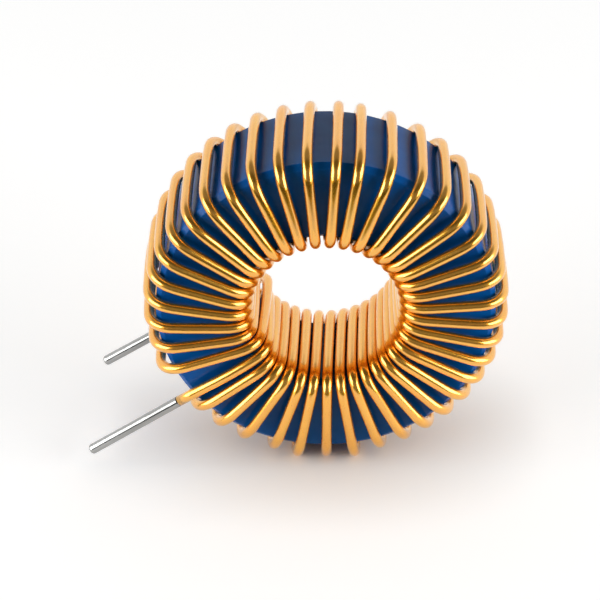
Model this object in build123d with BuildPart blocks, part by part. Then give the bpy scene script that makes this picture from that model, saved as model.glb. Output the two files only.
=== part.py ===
from build123d import *
import os
from math import asin, cos, degrees, pi, radians, sin, sqrt

# A toroidal inductor: one enamelled copper wire, wound by hand in a single layer through a
# coated ring of pressed powder, with both ends drawn out side by side and dipped in solder.
#
# Millimetres. X runs right, Y runs away along the ring's axis and Z runs up. The part is
# drawn about the ring's middle, and at the end it is moved so that its origin is the middle
# of its footprint, on the surface that it stands on.

# Ring core, over its coating
RING_OD = 33.0
RING_ID = 16.7
RING_HEIGHT = 10.7
EDGE_CHAMFER = 0.5
COATING = 0.35  # epoxy, all round

# Wire
COPPER = 1.0
ENAMEL = 0.04  # on the radius
SOLDER = 0.035  # on the radius of the stripped copper

# How the wire lies on the ring
RIM_GAP = 0.38
BORE_GAP = 0.16
FRONT_GAP = 0.55
REAR_GAP = 0.75  # the loops were closed by hand at the front, so they stand off most at the rear
EDGE_MARGIN = 0.14  # between a bend and the middle of the chamfer that it is drawn over
BORE_FILL = 0.9  # share of the bore's circle that the turns take up
TOUCH_GAP = 0.027  # between turns that lie side by side in the bore
BORE_BEND = 1.6
REAR_BORE_BEND = 1.9
BORE_LEAN = 4.0  # degrees that each turn gains on its way through the bore

# Where the turns lie, in degrees, anticlockwise from +X as seen from the front
FIRST_RIM = 213.4
FIRST_BORE = 215.5
RIM_WAVE = (0.3, 1.85, -1.85, 0.85)
BORE_WAVE = (1.85, 0.75, -1.3, -0.5)
RIM_NUDGES = {4: 1.3, 24: 1.2, 25: 2.0}  # turns that slipped a little
RIM_LEAN = 0.7  # how far the rear corners lag the front ones on the rim, on average
RIM_LEAN_SWING = 0.9
RIM_LEAN_PEAK = 135.0
STRAIGHT_DOWN = 270.0
LEVEL_SPAN = 12.0  # turns this near to straight down are pressed level to stand on

# First and last turns, and the leads
START_FRONT = 217.0
START_PROUD = 0.6
START_GAP = 0.17  # the front lead is drawn tight across the face
START_SLOT = 218.0  # the place in the layer that the front lead leaves
LAST_RIM_LIFT = 0.35  # the last turn is loose
LAST_FRONT = 207.0
LAST_REAR = 211.0
LAST_FRONT_PROUD = 0.35
LAST_REAR_PROUD = 1.0
LAST_REAR_LIFT = 0.15  # and its rear lead stands off the ring's edge
FRONT_LEAD_SLOPE = 34.0
REAR_LEAD_SLOPE = 32.8
FRONT_ENAMEL_PAST_RIM = 0.9
REAR_ENAMEL_PAST_RIM = -0.25
LEAD_BOW = 0.3
LEAD_BEND = 12.0
LEAD_STRAIGHT = 1.0  # from the last slight bend to the end of the enamel
LEAD_TINNED = 10.9
TIP_ROUND = 0.3

wire = COPPER + 2 * ENAMEL
soldered = COPPER + 2 * SOLDER
rim_radius = RING_OD / 2 + RIM_GAP + wire / 2
bore_radius = RING_ID / 2 - BORE_GAP - wire / 2
front_y = -(RING_HEIGHT / 2 + FRONT_GAP + wire / 2)
rear_y = RING_HEIGHT / 2 + REAR_GAP + wire / 2
places = int(BORE_FILL * 2 * pi * bore_radius / wire)  # turns, with one place for the leads
last = places - 1
touching = degrees(2 * asin((wire + TOUCH_GAP) / (2 * bore_radius)))
across_face = rim_radius - bore_radius


def edge_bend(rim_gap, face_gap):
    """The largest square bend that clears the chamfered edge at these gaps."""
    corner_to_edge = (rim_gap + face_gap + wire + EDGE_CHAMFER) / sqrt(2)
    return (corner_to_edge - wire / 2 - EDGE_MARGIN) / (sqrt(2) - 1)


rim_bend = edge_bend(RIM_GAP, FRONT_GAP)
rear_rim_bend = edge_bend(RIM_GAP, REAR_GAP)
BASE = (Align.CENTER, Align.CENTER, Align.MIN)


def polar(radius, angle, y):
    """The point at a radius and an angle about the ring's axis."""
    return Vector(radius * cos(radians(angle)), y, radius * sin(radians(angle)))


def wave(turn, waves):
    """Slow unevenness of a layer wound by hand, in degrees."""
    round_ring = 2 * pi * turn / places
    first_cos, first_sin, second_cos, second_sin = waves
    slow = first_cos * cos(round_ring) + first_sin * sin(round_ring)
    return slow + second_cos * cos(2 * round_ring) + second_sin * sin(2 * round_ring)


def rim_angle(turn):
    """Where a turn crosses the rim."""
    return FIRST_RIM + 360 * turn / places + wave(turn, RIM_WAVE) + RIM_NUDGES.get(turn, 0)


def rear_rim_angle(turn):
    """Where a turn comes over the rim from the rear face."""
    front = rim_angle(turn)
    return front - RIM_LEAN - RIM_LEAN_SWING * cos(radians(front - RIM_LEAN_PEAK))


def stands(turn):
    """Whether a turn is one of the lowest, which are pressed level with each other."""
    return abs(rim_angle(turn) - STRAIGHT_DOWN) < LEVEL_SPAN


def rim_corner(turn, angle, y):
    """The corner where a turn bends between the rim and a face."""
    if stands(turn):
        return polar(rim_radius / cos(radians(angle - STRAIGHT_DOWN)), angle, y)
    loose = LAST_RIM_LIFT if turn == last and y == front_y else 0
    return polar(rim_radius + loose, angle, y)


def bore_angle(turn):
    """Where a turn goes into the bore at the front: the first few are pushed up to the lead."""
    beside_lead = START_SLOT + turn * touching
    return max(beside_lead, FIRST_BORE + 360 * turn / places + wave(turn, BORE_WAVE))


def bore_front(turn):
    """The corner where a turn goes from the front face into the bore."""
    if turn == 0:
        start_y = -(RING_HEIGHT / 2 + START_GAP + wire / 2)
        return polar(bore_radius - START_PROUD, START_FRONT, start_y)
    if turn == last:
        return polar(bore_radius - LAST_FRONT_PROUD, LAST_FRONT, front_y)
    return polar(bore_radius, bore_angle(turn), front_y)


def bore_rear(turn):
    """The corner where a turn comes out of the bore onto the rear face."""
    if turn == last:
        return polar(bore_radius - LAST_REAR_PROUD, LAST_REAR, rear_y + LAST_REAR_LIFT)
    return polar(bore_radius, bore_angle(turn) + BORE_LEAN, rear_y)


def bowed(start, end, bow):
    """The middle of a stretch, pushed out by its bow."""
    return (start + end) * 0.5 + bow


# The wire's corners and the bend at each, from the front lead to the rear lead
front_lead_way = Vector(-cos(radians(FRONT_LEAD_SLOPE)), 0, -sin(radians(FRONT_LEAD_SLOPE)))
rear_lead_way = Vector(-cos(radians(REAR_LEAD_SLOPE)), 0, -sin(radians(REAR_LEAD_SLOPE)))
front_lead_start = bore_front(0) + front_lead_way * (across_face + FRONT_ENAMEL_PAST_RIM)
rear_lead_start = bore_rear(last) + rear_lead_way * (across_face + REAR_ENAMEL_PAST_RIM)

front_lead_bend = front_lead_start - front_lead_way * LEAD_STRAIGHT
rear_lead_bend = rear_lead_start - rear_lead_way * LEAD_STRAIGHT

corners = [front_lead_start, front_lead_bend]
corners.append(bowed(front_lead_bend, bore_front(0), Vector(0, -LEAD_BOW, 0)))
bends = [LEAD_BEND, LEAD_BEND]
for turn in range(places):
    corners += [bore_front(turn), bore_rear(turn)]
    bends += [BORE_BEND, REAR_BORE_BEND]
    if turn == last:
        break
    following = turn + 1
    corners.append(rim_corner(following, rear_rim_angle(following), rear_y))
    corners.append(rim_corner(following, rim_angle(following), front_y))
    bends += [rear_rim_bend, rim_bend]
corners.append(bowed(bore_rear(last), rear_lead_bend, Vector(0, LEAD_BOW, 0)))
corners += [rear_lead_bend, rear_lead_start]
bends += [LEAD_BEND, LEAD_BEND]

# Winding: the one wire, bare copper inside the soldered ends
front_lead = Plane(origin=front_lead_start, z_dir=front_lead_way)
rear_lead = Plane(origin=rear_lead_start, z_dir=rear_lead_way)
with BuildPart() as winding:
    with BuildLine() as route:
        FilletPolyline(*corners, radius=bends)
    with BuildSketch(Plane(origin=route.wires()[0] @ 0, z_dir=route.wires()[0] % 0)):
        Circle(wire / 2)
    sweep()
    for lead in (front_lead, rear_lead):
        with Locations(lead.location):
            Cylinder(COPPER / 2, LEAD_TINNED - TIP_ROUND, align=BASE)
winding.part.label = "winding"


def solder_sleeve(lead):
    """The solder round a stripped end, closed over its tip."""
    with BuildPart(lead) as sleeve:
        Cylinder(soldered / 2, LEAD_TINNED, align=BASE)
        fillet(sleeve.edges().sort_by(Axis(lead.origin, lead.z_dir))[-1], TIP_ROUND)
        Cylinder(COPPER / 2, LEAD_TINNED - TIP_ROUND, align=BASE, mode=Mode.SUBTRACT)
    return sleeve.part


front_lead_solder = solder_sleeve(front_lead)
front_lead_solder.label = "front_lead_solder"
rear_lead_solder = solder_sleeve(rear_lead)
rear_lead_solder.label = "rear_lead_solder"

# Ring core: the half sections of the coated ring and of the pressed ring inside it
with BuildSketch(Plane.XY) as coated_section:
    with Locations(((RING_OD + RING_ID) / 4, 0)):
        Rectangle((RING_OD - RING_ID) / 2, RING_HEIGHT)
    chamfer(coated_section.vertices(), EDGE_CHAMFER)
with BuildSketch(Plane.XY) as pressed_section:
    offset(coated_section.sketch, amount=-COATING, kind=Kind.INTERSECTION)

with BuildPart() as powder_core:
    add(pressed_section.sketch)
    revolve(axis=Axis.Y)
powder_core.part.label = "powder_core"

with BuildPart() as core_coating:
    with BuildSketch(Plane.XY):
        add(coated_section.sketch)
        add(pressed_section.sketch, mode=Mode.SUBTRACT)
    revolve(axis=Axis.Y)
core_coating.part.label = "core_coating"

# The origin goes to the middle of the footprint, on the surface under the lowest turns
pieces = [powder_core.part, core_coating.part, winding.part, front_lead_solder, rear_lead_solder]
whole = Compound(pieces).bounding_box()
middle = whole.center()
to_origin = Location((-middle.X, -middle.Y, -whole.min.Z))
os.makedirs("parts", exist_ok=True)
for piece in pieces:
    piece.move(to_origin)
    export_step(piece, f"parts/{piece.label}.step")

swept = pi * (wire / 2) ** 2 * route.wires()[0].length
stubs = 2 * pi * (COPPER / 2) ** 2 * (LEAD_TINNED - TIP_ROUND)
print("turns", last, "wire", round(route.wires()[0].length), "mm, rim bend", round(rim_bend, 3))
print("winding volume", round(winding.part.volume, 3), "section times length", round(swept + stubs, 3))
print("size", whole.size, "ring middle at", -middle.X, -middle.Y, -whole.min.Z)
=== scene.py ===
"""Toroidal inductor: one enamelled wire wound through a blue-coated ring, seen from the front and above."""
from math import asin, cos, degrees, pi, radians, sin, sqrt, tan

import bpy
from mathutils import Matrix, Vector, noise


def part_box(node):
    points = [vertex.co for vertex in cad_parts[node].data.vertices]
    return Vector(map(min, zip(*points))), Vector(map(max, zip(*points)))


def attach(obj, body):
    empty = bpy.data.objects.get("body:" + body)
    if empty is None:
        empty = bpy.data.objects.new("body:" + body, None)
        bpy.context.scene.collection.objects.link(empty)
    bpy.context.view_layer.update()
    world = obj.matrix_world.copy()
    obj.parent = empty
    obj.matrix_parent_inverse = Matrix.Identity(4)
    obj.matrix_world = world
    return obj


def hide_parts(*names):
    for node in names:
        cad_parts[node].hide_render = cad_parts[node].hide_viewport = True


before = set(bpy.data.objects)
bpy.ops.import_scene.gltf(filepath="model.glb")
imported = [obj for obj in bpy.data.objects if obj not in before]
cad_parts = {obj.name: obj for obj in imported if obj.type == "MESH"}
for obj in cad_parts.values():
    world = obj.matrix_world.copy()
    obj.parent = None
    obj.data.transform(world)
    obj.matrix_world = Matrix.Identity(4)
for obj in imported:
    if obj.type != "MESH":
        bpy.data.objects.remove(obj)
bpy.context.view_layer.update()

MM = 0.001
RING_LOW, RING_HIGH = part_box("core_coating")
RING_MIDDLE = (RING_LOW + RING_HIGH) / 2
RING_OD = RING_HIGH.x - RING_LOW.x
RING_HEIGHT = RING_HIGH.y - RING_LOW.y
RING_ID = 16.7 * MM
EDGE_CHAMFER = 0.5 * MM

# The wire and its route are the part's own, in metres
WIRE = 1.08 * MM
SOLDERED = 1.07 * MM
LEAD_TINNED = 10.9 * MM
TIP_ROUND = 0.3 * MM
RIM_GAP = 0.38 * MM
BORE_GAP = 0.16 * MM
FRONT_GAP = 0.55 * MM
REAR_GAP = 0.75 * MM
EDGE_MARGIN = 0.14 * MM
TOUCH_GAP = 0.027 * MM
BORE_FILL = 0.9
BORE_BEND = 1.6 * MM
REAR_BORE_BEND = 1.9 * MM
BORE_LEAN = 4.0
LEAD_BOW = 0.3 * MM
LEAD_BEND = 12.0 * MM
LEAD_STRAIGHT = 1.0 * MM
FIRST_RIM = 213.4
FIRST_BORE = 215.5
RIM_WAVE = (0.3, 1.85, -1.85, 0.85)
BORE_WAVE = (1.85, 0.75, -1.3, -0.5)
RIM_NUDGES = {4: 1.3, 24: 1.2, 25: 2.0}
RIM_LEAN = 0.7
RIM_LEAN_SWING = 0.9
RIM_LEAN_PEAK = 135.0
STRAIGHT_DOWN = 270.0
LEVEL_SPAN = 12.0
START_FRONT = 217.0
START_PROUD = 0.6 * MM
START_GAP = 0.17 * MM
START_SLOT = 218.0
LAST_RIM_LIFT = 0.35 * MM
LAST_FRONT = 207.0
LAST_REAR = 211.0
LAST_FRONT_PROUD = 0.35 * MM
LAST_REAR_PROUD = 1.0 * MM
LAST_REAR_LIFT = 0.15 * MM
FRONT_LEAD_SLOPE = 34.0
REAR_LEAD_SLOPE = 32.8
FRONT_ENAMEL_PAST_RIM = 0.9 * MM
REAR_ENAMEL_PAST_RIM = -0.25 * MM

RIM_RADIUS = RING_OD / 2 + RIM_GAP + WIRE / 2
BORE_RADIUS = RING_ID / 2 - BORE_GAP - WIRE / 2
FRONT_Y = -(RING_HEIGHT / 2 + FRONT_GAP + WIRE / 2)
REAR_Y = RING_HEIGHT / 2 + REAR_GAP + WIRE / 2
PLACES = int(BORE_FILL * 2 * pi * BORE_RADIUS / WIRE)
LAST = PLACES - 1
TOUCHING = degrees(2 * asin((WIRE + TOUCH_GAP) / (2 * BORE_RADIUS)))
ACROSS_FACE = RIM_RADIUS - BORE_RADIUS


def edge_bend(rim_gap, face_gap):
    """The largest square bend that clears the chamfered edge at these gaps."""
    corner_to_edge = (rim_gap + face_gap + WIRE + EDGE_CHAMFER) / sqrt(2)
    return (corner_to_edge - WIRE / 2 - EDGE_MARGIN) / (sqrt(2) - 1)


# Between its bends the springy wire bows a little, inside the room that the plain route takes up
RIM_BOW = 0.16 * MM
BORE_BOW = 0.2 * MM
BOW_SHARE = 0.85
RIM_BEND = edge_bend(RIM_GAP - RIM_BOW, FRONT_GAP)
REAR_RIM_BEND = edge_bend(RIM_GAP - RIM_BOW, REAR_GAP)

# Colours
ENAMEL_THIN = (0.98, 0.49, 0.03, 1)
ENAMEL_THICK = (0.94, 0.40, 0.02, 1)
ENAMEL_LINE = (0.62, 0.20, 0.02, 1)
TIN_BRIGHT = (0.44, 0.44, 0.43, 1)
TIN_DULL = (0.30, 0.30, 0.29, 1)
EPOXY = (0.001, 0.115, 0.46, 1)
EPOXY_DEEP = (0.001, 0.085, 0.36, 1)
# A lighter blue painted on the rounded edges as a highlight
EPOXY_EDGE_HIGHLIGHT = (0.005, 0.13, 0.48, 1)
EPOXY_SPECK = (0.03, 0.18, 0.50, 1)
POWDER_DARK = (0.07, 0.07, 0.075, 1)
POWDER_PALE = (0.26, 0.25, 0.24, 1)

# Surface depths and roughness
ENAMEL_WAVE_DEPTH = 0.004 * MM
ENAMEL_LINE_DEPTH = 0.0008 * MM
ENAMEL_ROUGHNESS = (0.21, 0.28)
TIN_RUN_DEPTH = 0.02 * MM
TIN_GRAIN_DEPTH = 0.002 * MM
TIN_ROUGHNESS = (0.12, 0.20)
TIN_THINNEST = 0.035
TIN_LUMPS_PER_METRE = 700
EPOXY_RIPPLE_DEPTH = 0.05 * MM
EPOXY_PEEL_DEPTH = 0.003 * MM
EPOXY_ROUGHNESS = (0.16, 0.24)
EPOXY_EDGE_DULLING = 0.08
POWDER_GRAIN_DEPTH = 0.02 * MM
POWDER_ROUGHNESS = (0.65, 0.85)

# How finely things are meshed
COAT_ROUND = 0.18 * MM
EDGE_REACH = 0.35 * MM
COAT_STEPS = 256
WIRE_SIDES = 24
TIN_RINGS = 60
TIP_RINGS = 6
BEND_STEP = radians(6)
STRAIGHT_STEP = 1.5 * MM
FINE_STEP = 0.12 * MM
EASE_SPAN = 6
EASE_ROUNDS = 2


def polar(radius, angle, y):
    """A point at a radius and an angle about the ring's axis, in the part's frame."""
    return RING_MIDDLE + Vector((radius * cos(radians(angle)), y, radius * sin(radians(angle))))


def wave(turn, waves):
    """A smooth unevenness in degrees, from the strengths of one and of two waves round the ring."""
    a, b, c, d = waves
    x = 2 * pi * turn / PLACES
    return a * cos(x) + b * sin(x) + c * cos(2 * x) + d * sin(2 * x)


def rim_angle(turn):
    return FIRST_RIM + 360 * turn / PLACES + wave(turn, RIM_WAVE) + RIM_NUDGES.get(turn, 0)


def rear_rim_angle(turn):
    """Where a turn meets the rear of the rim: most leant where the wire was pulled hardest."""
    front = rim_angle(turn)
    return front - RIM_LEAN - RIM_LEAN_SWING * cos(radians(front - RIM_LEAN_PEAK))


def stands(turn):
    """Whether the part stands on this turn, so that its rim run lies level with the ground."""
    return abs(rim_angle(turn) - STRAIGHT_DOWN) < LEVEL_SPAN


def rim_corner(turn, angle, y):
    if stands(turn):
        return polar(RIM_RADIUS / cos(radians(angle - STRAIGHT_DOWN)), angle, y)
    loose = LAST_RIM_LIFT if turn == LAST and y == FRONT_Y else 0
    return polar(RIM_RADIUS - RIM_BOW + loose, angle, y)


def bore_angle(turn):
    beside_lead = START_SLOT + turn * TOUCHING
    return max(beside_lead, FIRST_BORE + 360 * turn / PLACES + wave(turn, BORE_WAVE))


def bore_front(turn):
    if turn == 0:
        start_y = -(RING_HEIGHT / 2 + START_GAP + WIRE / 2)
        return polar(BORE_RADIUS - START_PROUD, START_FRONT, start_y)
    if turn == LAST:
        return polar(BORE_RADIUS - LAST_FRONT_PROUD, LAST_FRONT, FRONT_Y)
    return polar(BORE_RADIUS, bore_angle(turn), FRONT_Y)


def bore_rear(turn):
    if turn == LAST:
        return polar(BORE_RADIUS - LAST_REAR_PROUD, LAST_REAR, REAR_Y + LAST_REAR_LIFT)
    return polar(BORE_RADIUS, bore_angle(turn) + BORE_LEAN, REAR_Y)


def down_left(slope):
    return Vector((-cos(radians(slope)), 0, -sin(radians(slope))))


FRONT_WAY = down_left(FRONT_LEAD_SLOPE)
REAR_WAY = down_left(REAR_LEAD_SLOPE)
FRONT_START = bore_front(0) + FRONT_WAY * (ACROSS_FACE + FRONT_ENAMEL_PAST_RIM)
REAR_START = bore_rear(LAST) + REAR_WAY * (ACROSS_FACE + REAR_ENAMEL_PAST_RIM)


def bowed(start, end, outward, bow):
    """The middle of a stretch pushed out by its bow, and the radius that spreads the bow along it."""
    middle = (start + end) / 2
    reach = (end - start).length / 2
    radial = (middle - RING_MIDDLE) * Vector((1, 0, 1))
    spread_over = BOW_SHARE * (reach - REAR_RIM_BEND)
    return middle + radial.normalized() * (outward * bow), spread_over * reach / bow


def lead_corners(start, way, bore, out):
    """A lead's corners, from its soldered end to the bore."""
    bend = start - way * LEAD_STRAIGHT
    return [(start, 0), (bend, LEAD_BEND), ((bend + bore) / 2 + Vector((0, out, 0)), LEAD_BEND)]


def wire_corners():
    """The wire's corners, each with the radius of its bend."""
    corners = lead_corners(FRONT_START, FRONT_WAY, bore_front(0), -LEAD_BOW)
    for turn in range(PLACES):
        into, out_of = bore_front(turn), bore_rear(turn)
        corners += [(into, BORE_BEND), bowed(into, out_of, -1, BORE_BOW), (out_of, REAR_BORE_BEND)]
        if turn == LAST:
            break
        after = turn + 1
        rear = rim_corner(after, rear_rim_angle(after), REAR_Y)
        front = rim_corner(after, rim_angle(after), FRONT_Y)
        corners.append((rear, REAR_RIM_BEND))
        if not stands(after):
            corners.append(bowed(rear, front, 1, RIM_BOW))
        corners.append((front, RIM_BEND))
    return corners + lead_corners(REAR_START, REAR_WAY, bore_rear(LAST), LEAD_BOW)[::-1]


def rounded(corners):
    """Points along straight runs joined by tangent arcs."""
    points = [corners[0][0]]
    for (before, _), (corner, radius), (beyond, _) in zip(corners, corners[1:], corners[2:]):
        back = (before - corner).normalized()
        on = (beyond - corner).normalized()
        half = back.angle(on) / 2
        reach = radius / tan(half)
        centre = corner + (back + on).normalized() * (radius / sin(half))
        first = corner + back * reach
        turn_by = pi - 2 * half
        spoke = first - centre
        across = (corner + on * reach - centre) - spoke * cos(turn_by)
        across = across.normalized() * radius
        straight(points, first)
        steps = max(2, round(turn_by / BEND_STEP))
        for i in range(1, steps + 1):
            a = turn_by * i / steps
            points.append(centre + spoke * cos(a) + across * sin(a))
    straight(points, corners[-1][0])
    return points


def straight(points, end):
    """Carries points on to end in a straight line."""
    start = points[-1]
    steps = max(1, round((end - start).length / STRAIGHT_STEP))
    points += [start.lerp(end, i / steps) for i in range(1, steps + 1)]


def eased(points):
    """The route as springy wire takes it, its bends run into its straights, thinned where it is straight."""
    fine = [points[0]]
    for before, point in zip(points, points[1:]):
        steps = max(1, round((point - before).length / FINE_STEP))
        fine += [before.lerp(point, i / steps) for i in range(1, steps + 1)]
    for _ in range(EASE_ROUNDS):
        sums = [Vector((0, 0, 0))]
        for point in fine:
            sums.append(sums[-1] + point)
        spans = [min(i, len(fine) - 1 - i, EASE_SPAN) for i in range(len(fine))]
        fine = [(sums[i + w + 1] - sums[i - w]) / (2 * w + 1) for i, w in enumerate(spans)]
    kept, turned, heading = [fine[0]], 0.0, fine[1] - fine[0]
    for point, beyond in zip(fine[1:], fine[2:]):
        onward = beyond - point
        turned += heading.angle(onward)
        heading = onward
        if turned > BEND_STEP or (point - kept[-1]).length > STRAIGHT_STEP:
            kept.append(point)
            turned = 0.0
    return kept + [fine[-1]]


def placed(name, data):
    """An object in the scene that shows a mesh, a lamp or a camera."""
    thing = bpy.data.objects.new(name, data)
    bpy.context.scene.collection.objects.link(thing)
    return thing


def tube(name, points, radii):
    """A closed mesh tube along points, with a UV map of turn about it and length along it."""
    sides = WIRE_SIDES
    way = [(b - a).normalized() for a, b in zip(points, points[1:])]
    tangents = [way[0]] + [(a + b).normalized() for a, b in zip(way, way[1:])] + [way[-1]]
    normal = tangents[0].orthogonal().normalized()
    vertices, faces, along = [], [], [0.0]
    for i, (point, tangent, radius) in enumerate(zip(points, tangents, radii)):
        if i:
            normal = (normal - tangent * normal.dot(tangent)).normalized()
            along.append(along[-1] + (point - points[i - 1]).length)
        side = tangent.cross(normal)
        for j in range(sides):
            a = 2 * pi * j / sides
            vertices.append(point + (normal * cos(a) + side * sin(a)) * radius)
    for i in range(len(points) - 1):
        for j in range(sides):
            k = (j + 1) % sides
            faces.append((i * sides + j, i * sides + k, (i + 1) * sides + k, (i + 1) * sides + j))
    faces.append(tuple(reversed(range(sides))))
    faces.append(tuple(len(vertices) - sides + j for j in range(sides)))
    mesh = bpy.data.meshes.new(name)
    mesh.from_pydata(vertices, [], faces)
    uv = mesh.uv_layers.new(name="wire")
    for face in mesh.polygons:
        if len(face.vertices) > 4:
            continue
        i, j = divmod(face.vertices[0], sides)
        for loop, (di, dj) in zip(face.loop_indices, ((0, 0), (0, 1), (1, 1), (1, 0))):
            uv.data[loop].uv = ((j + dj) / sides, along[i + di] / (pi * WIRE))
    mesh.shade_smooth()
    return placed(name, mesh)


class Nodes:
    """One material or world's nodes, added and linked by name."""

    def __init__(self, tree):
        self.tree = tree

    def add(self, kind, settings=None, **inputs):
        node = self.tree.nodes.new("ShaderNode" + kind)
        for setting, value in (settings or {}).items():
            setattr(node, setting, value)
        for socket, value in inputs.items():
            self.set(node.inputs[socket.replace("_", " ")], value)
        return node

    def set(self, socket, value):
        if isinstance(value, bpy.types.NodeSocket):
            self.tree.links.new(value, socket)
        else:
            socket.default_value = value

    def math(self, operation, *values):
        node = self.add("Math", {"operation": operation})
        for socket, value in zip(node.inputs, values):
            self.set(socket, value)
        return node.outputs[0]

    def noise(self, vector, scale, detail=2.0, roughness=0.5):
        made = self.add("TexNoise", Vector=vector, Scale=scale, Detail=detail, Roughness=roughness)
        return made.outputs["Fac"]

    def spread(self, value, low, high, to_low=0.0, to_high=1.0, smooth=False):
        kind = {"interpolation_type": "SMOOTHSTEP"} if smooth else None
        return self.add("MapRange", kind, Value=value, From_Min=low, From_Max=high,
                        To_Min=to_low, To_Max=to_high).outputs["Result"]

    def blend(self, share, one, other):
        node = self.add("Mix", {"data_type": "RGBA"})
        for socket, value in zip((0, 6, 7), (share, one, other)):
            self.set(node.inputs[socket], value)
        return node.outputs[2]

    def bump(self, height, depth, after=None):
        node = self.add("Bump", Height=height, Strength=1.0, Distance=depth)
        if after:
            self.set(node.inputs["Normal"], after)
        return node.outputs["Normal"]


def material(name, **inputs):
    """A new material, its nodes and its shader, with plain values set on the shader."""
    made = bpy.data.materials.new(name)
    made.use_nodes = True
    shader = made.node_tree.nodes["Principled BSDF"]
    for socket, value in inputs.items():
        shader.inputs[socket.replace("_", " ")].default_value = value
    return made, Nodes(made.node_tree), shader


def around_wire(nodes):
    """Coordinates that run with the wire and close up around it: round, round, along."""
    uv = nodes.add("SeparateXYZ", Vector=nodes.add("UVMap", {"uv_map": "wire"}).outputs[0])
    angle = nodes.math("MULTIPLY", uv.outputs["X"], 2 * pi)
    return [nodes.math("COSINE", angle), nodes.math("SINE", angle), uv.outputs["Y"]]


def stretched(nodes, around, across, along):
    """The wire's coordinates, drawn out along it."""
    scales = (across, across, along)
    scaled = [nodes.math("MULTIPLY", value, scale) for value, scale in zip(around, scales)]
    return nodes.add("CombineXYZ", X=scaled[0], Y=scaled[1], Z=scaled[2]).outputs[0]


def enamelled_copper():
    """Copper under clear amber enamel, darker where it ran thick, with faint drawing lines and waves."""
    made, n, shader = material("enamelled_copper", Metallic=0.9, Coat_Weight=1.0, Coat_Roughness=0.07,
                               Coat_IOR=1.8)
    around = around_wire(n)
    lines = n.noise(stretched(n, around, 3.0, 0.12), 1.0, 3.0)
    waves = n.noise(stretched(n, around, 0.5, 0.45), 1.0, 2.0)
    flecks = n.noise(stretched(n, around, 2.5, 2.5), 1.0, 3.0, 0.6)
    uneven = n.math("ADD", n.math("MULTIPLY", waves, 0.6), n.math("MULTIPLY", flecks, 0.4))
    tone = n.blend(n.spread(uneven, 0.32, 0.68), ENAMEL_THIN, ENAMEL_THICK)
    drawn = n.spread(lines, 0.62, 0.8, 0.0, 0.35)
    n.set(shader.inputs["Base Color"], n.blend(drawn, tone, ENAMEL_LINE))
    n.set(shader.inputs["Roughness"], n.spread(flecks, 0.3, 0.7, *ENAMEL_ROUGHNESS))
    n.set(shader.inputs["Normal"], n.bump(waves, ENAMEL_WAVE_DEPTH, n.bump(lines, ENAMEL_LINE_DEPTH)))
    return made


def solder():
    """Dipped tin, with runs of duller metal along it and a fine grain."""
    made, n, shader = material("solder", Metallic=1.0)
    around = around_wire(n)
    runs = n.noise(stretched(n, around, 0.7, 0.5), 1.0, 3.0)
    grain = n.noise(stretched(n, around, 4.0, 4.0), 1.0, 3.0, 0.6)
    n.set(shader.inputs["Base Color"], n.blend(n.spread(runs, 0.35, 0.7), TIN_BRIGHT, TIN_DULL))
    n.set(shader.inputs["Roughness"], n.spread(grain, 0.3, 0.7, *TIN_ROUGHNESS))
    n.set(shader.inputs["Normal"], n.bump(runs, TIN_RUN_DEPTH, n.bump(grain, TIN_GRAIN_DEPTH)))
    return made


def blue_epoxy():
    """Dipped epoxy: a slight ripple all over, a painted highlight that lightens the edges, duller edges, and
    a few specks.
    """
    made, n, shader = material("blue_epoxy", Specular_IOR_Level=0.15)
    place = n.add("TexCoord").outputs["Object"]
    ripple = n.noise(place, 420.0, 2.0)
    peel = n.noise(place, 2600.0, 2.0)
    cloud = n.noise(place, 190.0, 3.0)
    specks = n.spread(n.noise(place, 5200.0, 1.0), 0.745, 0.80)
    edge = n.add("Attribute", {"attribute_name": "edge"}).outputs["Fac"]
    near_edge = n.math("MULTIPLY", edge, n.spread(n.noise(place, 900.0, 3.0), 0.35, 0.65))
    body = n.blend(n.spread(cloud, 0.35, 0.65), EPOXY_DEEP, EPOXY)
    # The edges' lighter blue is a painted highlight, standing in for light on the rounded edges
    edge_painted_highlight = n.blend(n.math("MULTIPLY", near_edge, 0.45), body, EPOXY_EDGE_HIGHLIGHT)
    n.set(shader.inputs["Base Color"], n.blend(n.math("MULTIPLY", specks, 0.5), edge_painted_highlight, EPOXY_SPECK))
    gloss = n.spread(peel, 0.3, 0.7, *EPOXY_ROUGHNESS)
    dulled = n.math("MULTIPLY", near_edge, EPOXY_EDGE_DULLING)
    n.set(shader.inputs["Roughness"], n.math("ADD", gloss, dulled))
    n.set(shader.inputs["Normal"], n.bump(ripple, EPOXY_RIPPLE_DEPTH, n.bump(peel, EPOXY_PEEL_DEPTH)))
    return made


def pressed_powder():
    """Grey grains pressed together, in paler and darker patches."""
    made, n, shader = material("pressed_powder", Metallic=0.3)
    place = n.add("TexCoord").outputs["Object"]
    grains = n.add("TexVoronoi", Vector=place, Scale=6000.0).outputs["Distance"]
    patches = n.noise(place, 300.0, 4.0)
    shade = n.math("MULTIPLY", grains, patches)
    n.set(shader.inputs["Base Color"], n.blend(shade, POWDER_DARK, POWDER_PALE))
    n.set(shader.inputs["Roughness"], n.spread(patches, 0.3, 0.7, *POWDER_ROUGHNESS))
    n.set(shader.inputs["Normal"], n.bump(grains, POWDER_GRAIN_DEPTH))
    return made


# Wire
winding_points = eased(rounded(wire_corners()))
winding = tube("winding_wire", winding_points, [WIRE / 2] * len(winding_points))
winding.data.materials.append(enamelled_copper())
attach(winding, "root")
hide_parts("winding")


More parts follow.
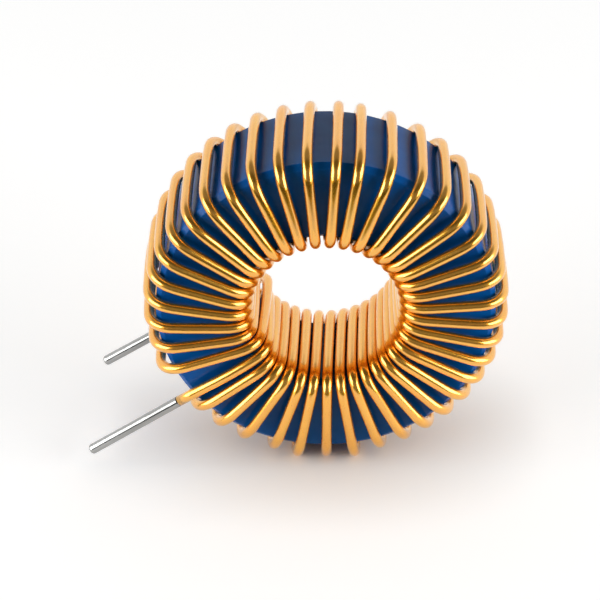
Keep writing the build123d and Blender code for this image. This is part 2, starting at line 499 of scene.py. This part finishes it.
# Soldered ends
def tinned_end(name, start, way):
    """A dipped end, thinner in places, with a rounded tip."""
    straight_end = LEAD_TINNED - TIP_ROUND
    rings = [(straight_end * i / TIN_RINGS, SOLDERED / 2) for i in range(TIN_RINGS + 1)]
    for i in range(1, TIP_RINGS + 1):
        a = pi / 2 * i / TIP_RINGS
        rings.append((straight_end + TIP_ROUND * sin(a), SOLDERED / 2 - TIP_ROUND * (1 - cos(a))))
    points = [start + way * at for at, _ in rings]
    thinned = [TIN_THINNEST * (0.5 + 0.5 * noise.noise(point * TIN_LUMPS_PER_METRE)) for point in points]
    return tube(name, points, [radius * (1 - thin) for (_, radius), thin in zip(rings, thinned)])


tin = solder()
for name, start, way in (("front_lead_tin", FRONT_START, FRONT_WAY), ("rear_lead_tin", REAR_START, REAR_WAY)):
    sleeve = tinned_end(name, start, way)
    sleeve.data.materials.append(tin)
    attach(sleeve, "root")
    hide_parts(name.replace("tin", "solder"))


# Coated ring
def coat_profile():
    """The coated ring's half section: points, each with how near an edge it lies."""
    inner, outer, half, c = RING_ID / 2, RING_OD / 2, RING_HEIGHT / 2, EDGE_CHAMFER
    section = [(inner, -half + c), (inner + c, -half), (outer - c, -half), (outer, -half + c),
               (outer, half - c), (outer - c, half), (inner + c, half), (inner, half - c)]
    corners = [(Vector((r, y, 0)), COAT_ROUND) for r, y in section]
    ends = (corners[-1][0] + corners[0][0]) / 2
    points = rounded([(ends, 0)] + corners + [(ends, 0)])[:-1]
    edges = [corner for corner, _ in corners]
    return [(p.x, p.y, max(0, 1 - min((p - e).length for e in edges) / EDGE_REACH)) for p in points]


def lathe(name, profile, steps):
    """A ring turned from its half section about the ring's axis."""
    vertices, faces, edge = [], [], []
    count = len(profile)
    for i in range(steps):
        a = 2 * pi * i / steps
        for radius, y, near in profile:
            vertices.append(RING_MIDDLE + Vector((radius * cos(a), y, radius * sin(a))))
            edge.append(near)
        for j in range(count):
            here, there = i * count, (i + 1) % steps * count
            k = (j + 1) % count
            faces.append((here + j, here + k, there + k, there + j))
    mesh = bpy.data.meshes.new(name)
    mesh.from_pydata(vertices, [], faces)
    mesh.attributes.new("edge", "FLOAT", "POINT").data.foreach_set("value", edge)
    mesh.shade_smooth()
    return placed(name, mesh)


coat = lathe("ring_coating", coat_profile(), COAT_STEPS)
coat.data.materials.append(blue_epoxy())
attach(coat, "root")
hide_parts("core_coating")

# Powder ring, sealed inside: the part's own mesh with its material
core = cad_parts["powder_core"]
core.data.materials.clear()
core.data.materials.append(pressed_powder())

# Stage: pale paper that glows a little to the eye and in reflections, with a painted shadow that dims the
# glow where the ring stands on it, and that metal sees as dark in front of the ring
PAPER = (0.93, 0.93, 0.925, 1)
FLOOR_DARK = (0.02, 0.02, 0.02, 1)
PAPER_FRONT = -0.052
PAPER_FADE = 0.012
PAPER_GLOW = 0.4
PAINTED_SHADOW_REACH = 0.012
PAINTED_SHADOW_DEPTH = 2.0
FLOOR_HALF = 3.0


def floor_paper():
    made = bpy.data.materials.new("floor_paper")
    made.use_nodes = True
    made.node_tree.nodes.clear()
    n = Nodes(made.node_tree)
    seen = n.add("LightPath").outputs
    place = n.add("SeparateXYZ", Vector=n.add("TexCoord").outputs["Object"]).outputs
    beside = n.spread(place["Y"], PAPER_FRONT - PAPER_FADE, PAPER_FRONT, smooth=True)
    pale = n.math("MAXIMUM", seen["Is Camera Ray"], beside)
    shown = n.math("MULTIPLY", n.math("MAXIMUM", seen["Is Camera Ray"], seen["Is Glossy Ray"]), pale)
    diffuse = n.add("BsdfDiffuse", Color=n.blend(pale, FLOOR_DARK, PAPER))
    # Painted contact shadow: ambient occlusion near the ring dims the paper's glow
    open_air = n.add("AmbientOcclusion", Distance=PAINTED_SHADOW_REACH).outputs["AO"]
    glowing = n.math("MULTIPLY", n.math("MULTIPLY", shown, PAPER_GLOW),
                     n.math("POWER", open_air, PAINTED_SHADOW_DEPTH))
    glow = n.add("Emission", Color=PAPER, Strength=glowing)
    both = n.add("AddShader")
    n.set(both.inputs[0], diffuse.outputs[0])
    n.set(both.inputs[1], glow.outputs[0])
    n.add("OutputMaterial", Surface=both.outputs[0])
    return made


floor_mesh = bpy.data.meshes.new("floor")
floor_mesh.from_pydata([(x * FLOOR_HALF, y * FLOOR_HALF, 0) for x, y in ((-1, -1), (1, -1), (1, 1), (-1, 1))],
                       [], [(0, 1, 2, 3)])
floor = placed("floor", floor_mesh)
floor.data.materials.append(floor_paper())

# Studio: white at the back and sides, and dimmer overhead and in front
STUDIO_FRONT = 0.2
STUDIO_TOP = 0.22
FRONT_TO_BACK = (-0.3, 0.15)
LOW_TO_HIGH = (0.56, 0.80)
SOFTBOX_PLACE = (0.46, -0.19, 0.14)
SOFTBOX_SIZE = (0.46, 0.32)
SOFTBOX_POWER = 2.1


def studio():
    """The world: its light on the ring follows the direction, and the camera sees plain white."""
    made = bpy.data.worlds.new("studio")
    made.use_nodes = True
    made.node_tree.nodes.clear()
    n = Nodes(made.node_tree)
    way = n.add("SeparateXYZ", Vector=n.add("TexCoord").outputs["Generated"]).outputs
    behind = n.spread(way["Y"], *FRONT_TO_BACK, STUDIO_FRONT, 1.0, smooth=True)
    overhead = n.spread(way["Z"], *LOW_TO_HIGH, 1.0, STUDIO_TOP, smooth=True)
    seen = n.add("LightPath").outputs["Is Camera Ray"]
    strength = n.math("MAXIMUM", n.math("MULTIPLY", behind, overhead), seen)
    n.add("OutputWorld", Surface=n.add("Background", Color=(1, 1, 1, 1), Strength=strength).outputs[0])
    return made


def softbox(name, place):
    """A rectangular lamp that faces the ring."""
    lamp = bpy.data.lights.new(name, "AREA")
    lamp.shape = "RECTANGLE"
    lamp.size, lamp.size_y = SOFTBOX_SIZE
    lamp.energy = SOFTBOX_POWER
    box = placed(name, lamp)
    box.location = place
    box.rotation_euler = (RING_MIDDLE - Vector(place)).to_track_quat("-Z", "Y").to_euler()
    box.visible_camera = False


bpy.context.scene.world = studio()
for side, name in ((-1, "softbox_left"), (1, "softbox_right")):
    softbox(name, (side * SOFTBOX_PLACE[0], SOFTBOX_PLACE[1], SOFTBOX_PLACE[2]))

# Camera
TARGET = RING_MIDDLE + Vector((-2.513, 0, -2.236)) * MM
ELEVATION = radians(33.8)
DISTANCE = 0.240
LENS = 145.1
SENSOR = 36
NEAREST = 0.01
camera_data = bpy.data.cameras.new("camera")
camera_data.sensor_width = SENSOR
camera_data.lens = LENS
camera_data.clip_start = NEAREST
camera = placed("camera", camera_data)
camera.location = TARGET + Vector((0, -cos(ELEVATION), sin(ELEVATION))) * DISTANCE
camera.rotation_euler = (pi / 2 - ELEVATION, 0, 0)
bpy.context.scene.camera = camera
bpy.context.scene.view_settings.view_transform = "Standard"
